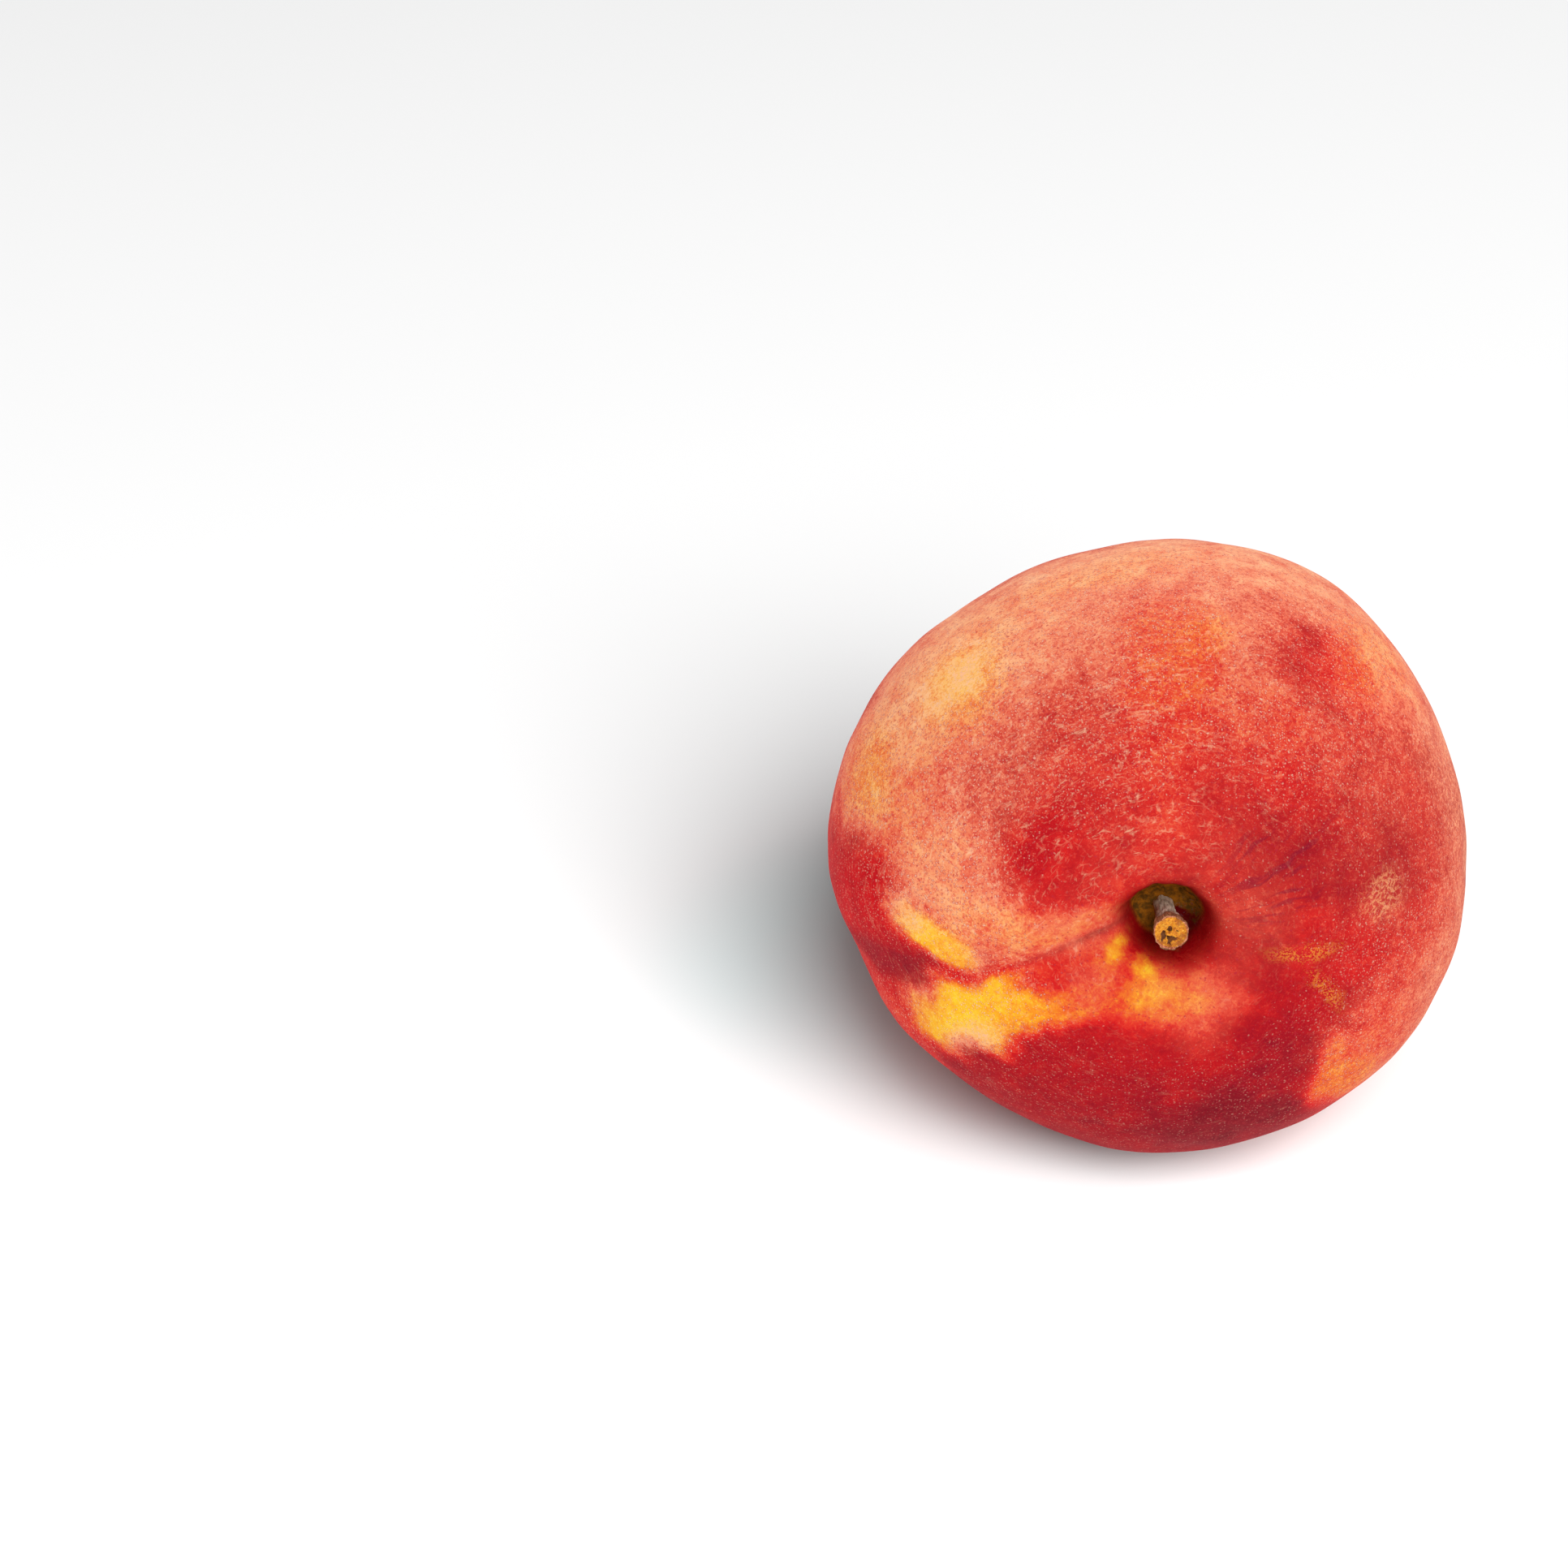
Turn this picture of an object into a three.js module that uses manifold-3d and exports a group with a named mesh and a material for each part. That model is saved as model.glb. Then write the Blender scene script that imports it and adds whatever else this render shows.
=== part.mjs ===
// A ripe nectarine with a short woody stem stub, lying on its side.
// Millimetres, +Z up, +X right, stem end towards -Y. The origin is under the middle of
// the fruit, on the surface that it rests on.
import * as THREE from "three";
import { mergeVertices } from "three/addons/utils/BufferGeometryUtils.js";
import Module from "manifold-3d";

// Body of the fruit, in its own frame: the stem axis is +Z and the suture is on the left.
const BODY_RADIUS = 32.7; // mean radius round the widest part
const STEM_HALF_HEIGHT = 32.6; // middle to the stem end, before the cavity is sunk
const TIP_HALF_HEIGHT = 33.6; // middle to the blossom end, before the beak
const SHOULDER_TAPER = 0.05; // how much wider the stem half is than the blossom half
const SHOULDER_FULLNESS = 0.1; // how square the shoulders are
// Uneven cheeks: each wave goes round the fruit this many times, by this share of the
// radius, with one of its crests in this direction.
const CHEEK_WAVES = [
  { count: 2, share: 0.0265, crestDegrees: -5 },
  { count: 3, share: 0.021, crestDegrees: -59 },
  { count: 4, share: 0.0065, crestDegrees: -18 },
  { count: 5, share: 0.0035, crestDegrees: -15 },
];

// Stem cavity: a wide shallow dish with a narrow deep throat in the middle.
const DISH_DEPTH = 5.2;
const DISH_RADIUS = 9.5;
const THROAT_DEPTH = 6.0;
const THROAT_RADIUS = 3.8;
const THROAT_OVAL = 0.08; // how much wider the throat is from side to side
const THROAT_SQUARENESS = 8;

// Blossom end: a small blunt beak.
const BEAK_HEIGHT = 2;
const BEAK_RADIUS = 4.6;
const BEAK_SHARPNESS = 1.5;

// Suture: the long shallow valley from the cavity to the beak.
const SUTURE_DEGREES = 199;
const SUTURE_BEND_DEGREES = 18; // how far it swings aside as it enters the cavity
const SUTURE_BEND_RADIUS = 10;
const SUTURE_DEPTH = 1.45;
const SUTURE_HALF_WIDTH = 1.6; // at the two ends
const SUTURE_WIDENING = 2.2; // extra share of the half width at the widest part
const SUTURE_FADE = 5; // distance from the axis over which the valley deepens
const SUTURE_LEVELLING = 0.8; // share of its depth that it loses half way between its ends
const SUTURE_EVENNESS = 6; // the higher, the shorter the level stretch

// How the fruit lies: the stem axis points forwards and a little upwards.
const STEM_RISE_DEGREES = 12.5;
const STEM_TURN_DEGREES = -1.3;
const REST_DEPTH = 0.7; // how deep the flat resting spot is pressed into the round

// Woody stem stub, seated in a shallow socket in the floor of the cavity.
const SEAT_GAP = 0.3;
const STEM_RADIUS = 1.35;
const STEM_CUT_RADIUS = 1.9;
const STEM_LENGTH = 8.3; // from the cavity floor to the cut end
const STEM_SEAT_DEPTH = 1.5;
const STEM_LEAN = { right: 0.03, up: 0 }; // sideways per unit of length
const STEM_SIDES = 16;

// Dried remnant of the style on the beak.
const STYLE_RADIUS = 0.65;
const STYLE_END_RADIUS = 0.3;
const STYLE_LENGTH = 1.7;
const STYLE_SEAT_DEPTH = 1;
const STYLE_LEAN = { right: 0.25, up: 0.15 };
const STYLE_SIDES = 10;

const MERIDIANS = 80;
const RING_STEP = 2.9; // distance between rings along the open skin
const THROAT_RING_DENSITY = 2.6; // how many times closer the rings are in the throat

const wasm = await Module();
wasm.setup();

const degrees = THREE.MathUtils.degToRad;

// Point on the skin at an angle from the stem end and an angle round the stem axis.
function skinPoint(fromStem, around) {
  const along = Math.cos(fromStem);
  const out = Math.sin(fromStem);
  let radius = BODY_RADIUS * out * (1 + SHOULDER_TAPER * along);
  radius *= 1 + SHOULDER_FULLNESS * (out * along) ** 2;
  for (const wave of CHEEK_WAVES) {
    const phase = wave.count * (around - degrees(wave.crestDegrees));
    radius *= 1 + wave.share * Math.cos(phase) * out;
  }
  let height = along * (along >= 0 ? STEM_HALF_HEIGHT : TIP_HALF_HEIGHT);
  if (along >= 0) {
    height -= DISH_DEPTH * Math.exp(-((radius / DISH_RADIUS) ** 2));
    const throatRadius = THROAT_RADIUS * (1 + THROAT_OVAL * Math.cos(2 * around));
    height -= THROAT_DEPTH / (1 + (radius / throatRadius) ** THROAT_SQUARENESS);
  } else {
    height -= BEAK_HEIGHT * Math.exp(-((radius / BEAK_RADIUS) ** BEAK_SHARPNESS));
  }
  let bend = 0;
  if (along > 0) bend = SUTURE_BEND_DEGREES * Math.exp(-((radius / SUTURE_BEND_RADIUS) ** 2));
  const turn = around - degrees(SUTURE_DEGREES - bend);
  const offset = Math.atan2(Math.sin(turn), Math.cos(turn));
  const across = Math.abs(offset) * radius;
  const halfWidth = SUTURE_HALF_WIDTH * (1 + SUTURE_WIDENING * out);
  let valley = SUTURE_DEPTH * Math.exp(-((across / halfWidth) ** 2));
  valley *= Math.min(radius / SUTURE_FADE, 1) * (Math.abs(offset) < Math.PI / 2 ? 1 : 0);
  valley *= 1 - SUTURE_LEVELLING * out ** SUTURE_EVENNESS;
  const shrink = 1 - valley / Math.hypot(radius, height);
  return new THREE.Vector3(
    radius * shrink * Math.cos(around),
    radius * shrink * Math.sin(around),
    height * shrink,
  );
}

// Angles from the stem end at which the rings lie: evenly spaced along the skin, and
// closer together where the throat turns sharply.
function ringAngles() {
  const angles = [0];
  const smallStep = degrees(0.1);
  let walked = 0;
  let last = skinPoint(0, 0);
  for (let angle = smallStep; angle < Math.PI - smallStep / 2; angle += smallStep) {
    const next = skinPoint(angle, 0);
    const radius = Math.hypot(next.x, next.y);
    const inThroat = next.z > 0 && radius < 2 * THROAT_RADIUS;
    const onBeak = next.z < 0 && radius < BEAK_RADIUS;
    const density = inThroat || onBeak ? THROAT_RING_DENSITY : 1;
    walked += next.distanceTo(last) * density;
    last = next;
    if (walked >= RING_STEP) {
      angles.push(angle);
      walked -= RING_STEP;
    }
  }
  angles.push(Math.PI);
  return angles;
}

// Closed surface from rings of points. The first and last rings are single points.
function closedSurface(rings) {
  const positions = rings.flat().flatMap((point) => point.toArray());
  const starts = [];
  let count = 0;
  for (const ring of rings) {
    starts.push(count);
    count += ring.length;
  }
  const triangles = [];
  for (let index = 0; index < rings.length - 1; index += 1) {
    const sides = Math.max(rings[index].length, rings[index + 1].length);
    const single = [rings[index].length === 1, rings[index + 1].length === 1];
    for (let side = 0; side < sides; side += 1) {
      const next = (side + 1) % sides;
      const near = starts[index] + (single[0] ? 0 : side);
      const nearNext = starts[index] + (single[0] ? 0 : next);
      const far = starts[index + 1] + (single[1] ? 0 : side);
      const farNext = starts[index + 1] + (single[1] ? 0 : next);
      if (!single[1]) triangles.push(near, far, farNext);
      if (!single[0]) triangles.push(near, farNext, nearNext);
    }
  }
  const geometry = new THREE.BufferGeometry();
  geometry.setAttribute("position", new THREE.Float32BufferAttribute(positions, 3));
  geometry.setIndex(triangles);
  return geometry;
}

function skinSurface() {
  const rings = ringAngles().map((angle) => {
    if (angle === 0 || angle === Math.PI) return [skinPoint(angle, 0)];
    return Array.from({ length: MERIDIANS }, (_, side) =>
      skinPoint(angle, (side / MERIDIANS) * 2 * Math.PI),
    );
  });
  return closedSurface(rings);
}

// Round piece along a leaning line: stations are { height, radius }, from the end that
// the skin's rings would meet first, so that its faces point out.
function leaningPiece(stations, lean, foot, sides) {
  const centre = (height) =>
    new THREE.Vector3(lean.right * (height - foot), lean.up * (height - foot), height);
  const rings = stations.map(({ height, radius }) => {
    return Array.from({ length: sides }, (_, side) => {
      const around = (side / sides) * 2 * Math.PI;
      const rim = new THREE.Vector3(Math.cos(around), Math.sin(around), 0);
      return centre(height).addScaledVector(rim, radius);
    });
  });
  rings.unshift([centre(stations[0].height)]);
  rings.push([centre(stations[stations.length - 1].height)]);
  return closedSurface(rings);
}

function toSolid(geometry) {
  const bare = geometry.clone();
  bare.deleteAttribute("normal");
  bare.deleteAttribute("uv");
  const merged = mergeVertices(bare, 1e-5);
  const mesh = new wasm.Mesh({
    numProp: 3,
    vertProperties: new Float32Array(merged.attributes.position.array),
    triVerts: new Uint32Array(merged.index.array),
  });
  return new wasm.Manifold(mesh);
}

function toGeometry(solid) {
  const mesh = solid.getMesh();
  const geometry = new THREE.BufferGeometry();
  geometry.setAttribute("position", new THREE.Float32BufferAttribute(mesh.vertProperties, 3));
  geometry.setIndex(Array.from(mesh.triVerts));
  geometry.computeVertexNormals();
  return geometry;
}

// From the fruit's own frame to the way it lies.
const rise = degrees(STEM_RISE_DEGREES);
const laid = new THREE.Matrix4().makeRotationZ(degrees(STEM_TURN_DEGREES));
laid.multiply(
  new THREE.Matrix4().makeBasis(
    new THREE.Vector3(1, 0, 0),
    new THREE.Vector3(0, Math.sin(rise), Math.cos(rise)),
    new THREE.Vector3(0, -Math.cos(rise), Math.sin(rise)),
  ),
);

// Stem stub and its socket.
const floor = skinPoint(0, 0).z;
const stemTop = floor + STEM_LENGTH;
const stemFoot = floor - STEM_SEAT_DEPTH + SEAT_GAP;
const stemStations = [
  { height: stemTop, radius: STEM_CUT_RADIUS * 0.55 },
  { height: stemTop - 0.15, radius: STEM_CUT_RADIUS * 0.96 },
  { height: stemTop - 0.7, radius: STEM_CUT_RADIUS },
  { height: stemTop - 1.8, radius: STEM_RADIUS * 1.18 },
  { height: stemTop - 3.6, radius: STEM_RADIUS },
  { height: floor + 1.6, radius: STEM_RADIUS * 1.02 },
  { height: stemFoot, radius: STEM_RADIUS * 1.1 },
];
const stemGeometry = leaningPiece(stemStations, STEM_LEAN, floor, STEM_SIDES);
const stemSocket = leaningPiece(
  [
    { height: floor + 1, radius: STEM_RADIUS * 1.1 + SEAT_GAP },
    { height: floor - STEM_SEAT_DEPTH, radius: STEM_RADIUS * 1.1 + SEAT_GAP },
  ],
  STEM_LEAN,
  floor,
  STEM_SIDES,
);

// Style remnant and its socket, at the tip of the beak.
const tip = skinPoint(Math.PI, 0).z;
const styleStations = [
  { height: tip + STYLE_SEAT_DEPTH - SEAT_GAP, radius: STYLE_RADIUS },
  { height: tip, radius: STYLE_RADIUS * 0.9 },
  { height: tip - STYLE_LENGTH * 0.6, radius: (STYLE_RADIUS + STYLE_END_RADIUS) / 2 },
  { height: tip - STYLE_LENGTH, radius: STYLE_END_RADIUS },
];
const styleGeometry = leaningPiece(styleStations, STYLE_LEAN, tip, STYLE_SIDES);
const styleSocket = leaningPiece(
  [
    { height: tip + STYLE_SEAT_DEPTH, radius: STYLE_RADIUS + SEAT_GAP },
    { height: tip - 1.5, radius: STYLE_RADIUS + SEAT_GAP },
  ],
  STYLE_LEAN,
  tip,
  STYLE_SIDES,
);

// The whole fruit: the skin's solid less the two sockets, with the resting spot cut flat.
const round = skinSurface().applyMatrix4(laid);
round.computeBoundingBox();
const restHeight = round.boundingBox.min.z + REST_DEPTH;
const underBlock = new THREE.BoxGeometry(40, 40, 10);
underBlock.translate(0, 0, restHeight - 5);
const fruitSolid = toSolid(round)
  .subtract(toSolid(stemSocket.applyMatrix4(laid)))
  .subtract(toSolid(styleSocket.applyMatrix4(laid)))
  .subtract(toSolid(underBlock));
const fruitGeometry = toGeometry(fruitSolid);
fruitGeometry.computeBoundingBox();
const box = fruitGeometry.boundingBox;
stemGeometry.applyMatrix4(laid);
stemGeometry.computeVertexNormals();
styleGeometry.applyMatrix4(laid);
styleGeometry.computeVertexNormals();

const skin = new THREE.MeshStandardMaterial({ color: 0xcf3a2c, roughness: 0.42 });
const wood = new THREE.MeshStandardMaterial({ color: 0x8a6136, roughness: 0.85 });
const dryTip = new THREE.MeshStandardMaterial({ color: 0x6b3a1e, roughness: 0.9 });

const nectarine = new THREE.Group();
const pieces = [
  ["fruit", fruitGeometry, skin],
  ["stem_stub", stemGeometry, wood],
  ["style_tip", styleGeometry, dryTip],
];
for (const [name, geometry, material] of pieces) {
  const mesh = new THREE.Mesh(geometry, material);
  mesh.name = name;
  nectarine.add(mesh);
}
// The origin goes under the middle of the whole object, tip included.
const whole = new THREE.Box3();
for (const mesh of nectarine.children) {
  mesh.geometry.computeBoundingBox();
  whole.union(mesh.geometry.boundingBox);
}
nectarine.position.set(
  -(whole.min.x + whole.max.x) / 2,
  -(whole.min.y + whole.max.y) / 2,
  -box.min.z,
);

export default nectarine;
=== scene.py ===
"""A ripe nectarine lying on its side, with its stem stub and its dried style tip.

The fine skin repeats the shape of the CAD solid and adds the small relief. Lengths are in
millimetres until a mesh is made, which is in metres. The fruit has a frame of its own: the
stem axis is +Z, and angles round it start at +X. `laid` turns that frame to the way the
fruit lies.
"""

import math

import bpy
import numpy as np
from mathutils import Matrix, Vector


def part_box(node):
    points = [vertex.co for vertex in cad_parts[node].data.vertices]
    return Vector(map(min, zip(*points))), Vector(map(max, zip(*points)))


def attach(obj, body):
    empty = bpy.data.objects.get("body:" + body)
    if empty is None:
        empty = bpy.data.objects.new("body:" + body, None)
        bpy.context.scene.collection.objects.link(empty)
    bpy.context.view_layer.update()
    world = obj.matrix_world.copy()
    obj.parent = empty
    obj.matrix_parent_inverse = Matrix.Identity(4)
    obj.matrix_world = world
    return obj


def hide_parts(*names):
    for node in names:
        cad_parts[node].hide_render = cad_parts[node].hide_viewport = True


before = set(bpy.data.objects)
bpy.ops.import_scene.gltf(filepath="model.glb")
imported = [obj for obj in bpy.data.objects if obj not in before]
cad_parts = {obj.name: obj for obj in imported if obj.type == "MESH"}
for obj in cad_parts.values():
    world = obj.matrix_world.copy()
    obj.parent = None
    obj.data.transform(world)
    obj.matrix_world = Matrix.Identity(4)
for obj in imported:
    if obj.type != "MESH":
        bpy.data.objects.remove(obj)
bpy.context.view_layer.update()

METRES = 0.001

# ---------------------------------------------------------------- shape, as in the CAD

BODY_RADIUS = 32.7
STEM_HALF_HEIGHT = 32.6
TIP_HALF_HEIGHT = 33.6
SHOULDER_TAPER = 0.05
SHOULDER_FULLNESS = 0.1
CHEEK_WAVES = [  # times round, share of the radius, direction of one crest
    (2, 0.0265, -5),
    (3, 0.021, -59),
    (4, 0.0065, -18),
    (5, 0.0035, -15),
]
DISH_DEPTH = 5.2
DISH_RADIUS = 9.5
THROAT_DEPTH = 6.0
THROAT_RADIUS = 3.8
THROAT_OVAL = 0.08
THROAT_SQUARENESS = 8
BEAK_HEIGHT = 2.0
BEAK_RADIUS = 4.6
BEAK_SHARPNESS = 1.5
SUTURE_DEGREES = 199
SUTURE_BEND_DEGREES = 18
SUTURE_BEND_RADIUS = 10
SUTURE_DEPTH = 1.45
SUTURE_HALF_WIDTH = 1.6
SUTURE_WIDENING = 2.2
SUTURE_FADE = 5
SUTURE_LEVELLING = 0.8
SUTURE_EVENNESS = 6
STEM_RISE_DEGREES = 12.5
STEM_TURN_DEGREES = -1.3
REST_DEPTH = 0.7
STEM_RADIUS = 1.35
STEM_CUT_RADIUS = 1.9
STEM_LENGTH = 8.3
STEM_LEAN = (0.03, 0.0)
STYLE_RADIUS = 0.65
STYLE_END_RADIUS = 0.3
STYLE_LENGTH = 1.7
STYLE_LEAN = (0.25, 0.15)

# Mesh and fine relief of the skin.
MERIDIANS = 384
RINGS = 250
THROAT_DENSITY = 2.4  # how many times closer the rings are in the throat
BEAK_EXTRA_DENSITY = 1.5
BEAK_FINE_RADIUS = 5
CREASE_DEPTH = 0.34  # of the sharp line in the suture, beside the cavity
CREASE_LEAST_DEPTH = 0.07
CREASE_HALF_WIDTH = 0.4
LUMPS = [(0.10, 17, 11), (0.035, 6.5, 12)]  # height, size in mm and seed
FLAT_EDGE = 0.12  # rounding of the flat spot's edge
HAIR = 0.01  # how far the skin stays inside the CAD node's box


def waves(points, size, seed, count=20):
    """Smooth uneven field with features of this size in mm and a spread of about 1."""
    rng = np.random.default_rng(seed)
    directions = rng.normal(size=(count, 3))
    directions /= np.linalg.norm(directions, axis=1, keepdims=True)
    lengths = size * rng.uniform(0.65, 1.5, count)
    phases = rng.uniform(0, 2 * math.pi, count)
    total = np.zeros(points.shape[:-1])
    for direction, length, phase in zip(directions, lengths, phases):
        total += np.sin(points @ direction * (2 * math.pi / length) + phase)
    return total / math.sqrt(count / 2)


def smooth(value, low, high):
    """0 below low, 1 above high, smooth between. It falls instead if low is above high."""
    share = np.clip((value - low) / (high - low), 0, 1)
    return share * share * (3 - 2 * share)


def wrapped(angle):
    """The same direction as an angle between half a turn back and half a turn on."""
    return np.arctan2(np.sin(angle), np.cos(angle))


def suture_offset(radius, around, stem_side):
    """Signed distance round the fruit from the middle of the suture, in mm and as an angle."""
    bend = SUTURE_BEND_DEGREES * np.exp(-((radius / SUTURE_BEND_RADIUS) ** 2)) * stem_side
    angle = wrapped(around - np.radians(SUTURE_DEGREES - bend))
    return angle * radius, angle


def skin_points(from_stem, around, fine=True):
    """Points on the skin, in the fruit's own frame, in mm, with or without fine relief."""
    along = np.cos(from_stem)
    out = np.sin(from_stem)
    radius = BODY_RADIUS * out * (1 + SHOULDER_TAPER * along)
    radius = radius * (1 + SHOULDER_FULLNESS * (out * along) ** 2)
    for count, share, crest in CHEEK_WAVES:
        radius = radius * (1 + share * np.cos(count * (around - math.radians(crest))) * out)
    stem_side = (along >= 0).astype(float)
    height = along * np.where(along >= 0, STEM_HALF_HEIGHT, TIP_HALF_HEIGHT)
    throat_radius = THROAT_RADIUS * (1 + THROAT_OVAL * np.cos(2 * around))
    if fine:
        folds = 0.02 * np.sin(7 * around + 0.6) + 0.015 * np.sin(13 * around + 2.1)
        throat_radius = throat_radius * (1 + folds)
    dish = DISH_DEPTH * np.exp(-((radius / DISH_RADIUS) ** 2))
    throat = THROAT_DEPTH / (1 + (radius / throat_radius) ** THROAT_SQUARENESS)
    beak = BEAK_HEIGHT * np.exp(-((radius / BEAK_RADIUS) ** BEAK_SHARPNESS))
    height = height - stem_side * (dish + throat) - (1 - stem_side) * beak
    across, angle = suture_offset(radius, around, stem_side)
    half_width = SUTURE_HALF_WIDTH * (1 + SUTURE_WIDENING * out)
    valley = SUTURE_DEPTH * np.exp(-((across / half_width) ** 2))
    near_side = np.abs(angle) < math.pi / 2
    valley = valley * np.minimum(radius / SUTURE_FADE, 1) * near_side
    valley = valley * (1 - SUTURE_LEVELLING * out**SUTURE_EVENNESS)
    if fine:
        # the sharp crease in the floor of the valley, deepest beside the cavity
        sharp = CREASE_DEPTH * stem_side * smooth(radius, 26, 6) + CREASE_LEAST_DEPTH
        sharp = sharp * np.exp(-np.abs(across) / CREASE_HALF_WIDTH) * smooth(radius, 1.5, 4)
        valley = valley + sharp * near_side
    length = np.hypot(radius, height) + 1e-9
    shrink = 1 - valley / length
    points = np.stack(
        [radius * np.cos(around), radius * np.sin(around), height], axis=-1
    ) * shrink[..., None]
    if fine:
        lumps = sum(height * waves(points, size, seed) for height, size, seed in LUMPS)
        outward = points / (np.linalg.norm(points, axis=-1, keepdims=True) + 1e-9)
        points = points + outward * (lumps * smooth(radius, 4, 12))[..., None]
    return points


rise = math.radians(STEM_RISE_DEGREES)
turn = math.radians(STEM_TURN_DEGREES)
stand = np.array(
    [
        [1, 0, 0],
        [0, math.sin(rise), -math.cos(rise)],
        [0, math.cos(rise), math.sin(rise)],
    ]
)
swing = np.array(
    [
        [math.cos(turn), -math.sin(turn), 0],
        [math.sin(turn), math.cos(turn), 0],
        [0, 0, 1],
    ]
)
laid = swing @ stand

# Where the CAD's fruit sits: its plain shape is laid in the same way and moved so that its
# lowest and highest corners meet the CAD node's.
plain_angle = np.linspace(0, math.pi, 181)[:, None]
plain_around = (np.arange(180) * math.pi / 90)[None, :]
plain = skin_points(plain_angle + 0 * plain_around, plain_around + 0 * plain_angle, False)
plain = plain @ laid.T
plain_low = plain.min(axis=(0, 1))
plain_high = plain.max(axis=(0, 1))
fruit_low, fruit_high = (np.array(corner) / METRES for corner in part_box("fruit"))
rest_height = plain_low[2] + REST_DEPTH
shift = np.array(
    [
        (fruit_low[0] + fruit_high[0] - plain_low[0] - plain_high[0]) / 2,
        (fruit_low[1] + fruit_high[1] - plain_low[1] - plain_high[1]) / 2,
        fruit_high[2] - plain_high[2],
    ]
)


def place(points):
    """From the fruit's own frame to the scene's, in mm."""
    return points @ laid.T + shift


def add_mesh(name, points, faces):
    """A smooth-shaded piece with these points, in mm, and faces."""
    mesh = bpy.data.meshes.new(name)
    mesh.from_pydata((points * METRES).tolist(), [], faces)
    mesh.validate()
    mesh.update()
    mesh.polygons.foreach_set("use_smooth", np.ones(len(mesh.polygons), bool))
    piece = bpy.data.objects.new(name, mesh)
    bpy.context.scene.collection.objects.link(piece)
    return piece


def ring_faces(rings, sides):
    """Faces of a closed surface: a point, rings of `sides` points, and a point."""
    faces = [(0, 1 + side, 1 + (side + 1) % sides) for side in range(sides)]
    for ring in range(rings - 1):
        start = 1 + ring * sides
        for side in range(sides):
            after = (side + 1) % sides
            faces.append(
                (start + side, start + sides + side, start + sides + after, start + after)
            )
    start = 1 + (rings - 1) * sides
    last = start + sides
    faces += [(start + side, last, start + (side + 1) % sides) for side in range(sides)]
    return faces


# ---------------------------------------------------------------- skin

# The rings are spread evenly along this meridian, closer where the surface turns sharply.
LINE_AROUND = 0.3
walk = np.linspace(0, math.pi, 6001)
line = skin_points(walk, np.full_like(walk, LINE_AROUND), False)
steps = np.linalg.norm(np.diff(line, axis=0), axis=1)
line_radius = np.hypot(line[1:, 0], line[1:, 1])
in_throat = (line[1:, 2] > 0) & (line_radius < 2 * THROAT_RADIUS)
on_beak = (line[1:, 2] < 0) & (line_radius < BEAK_FINE_RADIUS)
density = np.where(in_throat, THROAT_DENSITY, 1.0) + BEAK_EXTRA_DENSITY * on_beak
walked = np.concatenate([[0], np.cumsum(steps * density)])
ring_angles = np.interp(np.linspace(0, walked[-1], RINGS + 2), walked, walk)[1:-1]
sides_around = np.arange(MERIDIANS) * (2 * math.pi / MERIDIANS)
from_stem = np.repeat(ring_angles, MERIDIANS)
around = np.tile(sides_around, RINGS)
from_stem = np.concatenate([[0.0], from_stem, [math.pi]])
around = np.concatenate([[0.0], around, [0.0]])
own = skin_points(from_stem, around)
skin_place = place(own)
# the flat spot, with a softly rounded edge
base = rest_height + shift[2]
above = skin_place[:, 2] - base
rounded = np.maximum(above + FLAT_EDGE, 0) ** 2 / (4 * FLAT_EDGE)
skin_place[:, 2] = base + np.where(above > FLAT_EDGE, above, rounded)
# fill the CAD node's box to a hair, and stand on its floor
low = skin_place.min(axis=0)
high = skin_place.max(axis=0)
scale = (fruit_high - fruit_low - 2 * HAIR) / (high - low)
skin_place = fruit_low + HAIR + (skin_place - low) * scale
skin_place[:, 2] -= HAIR

fruit = add_mesh("nectarine_skin", skin_place, ring_faces(RINGS, MERIDIANS))

# ---------------------------------------------------------------- colour of the skin

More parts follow.
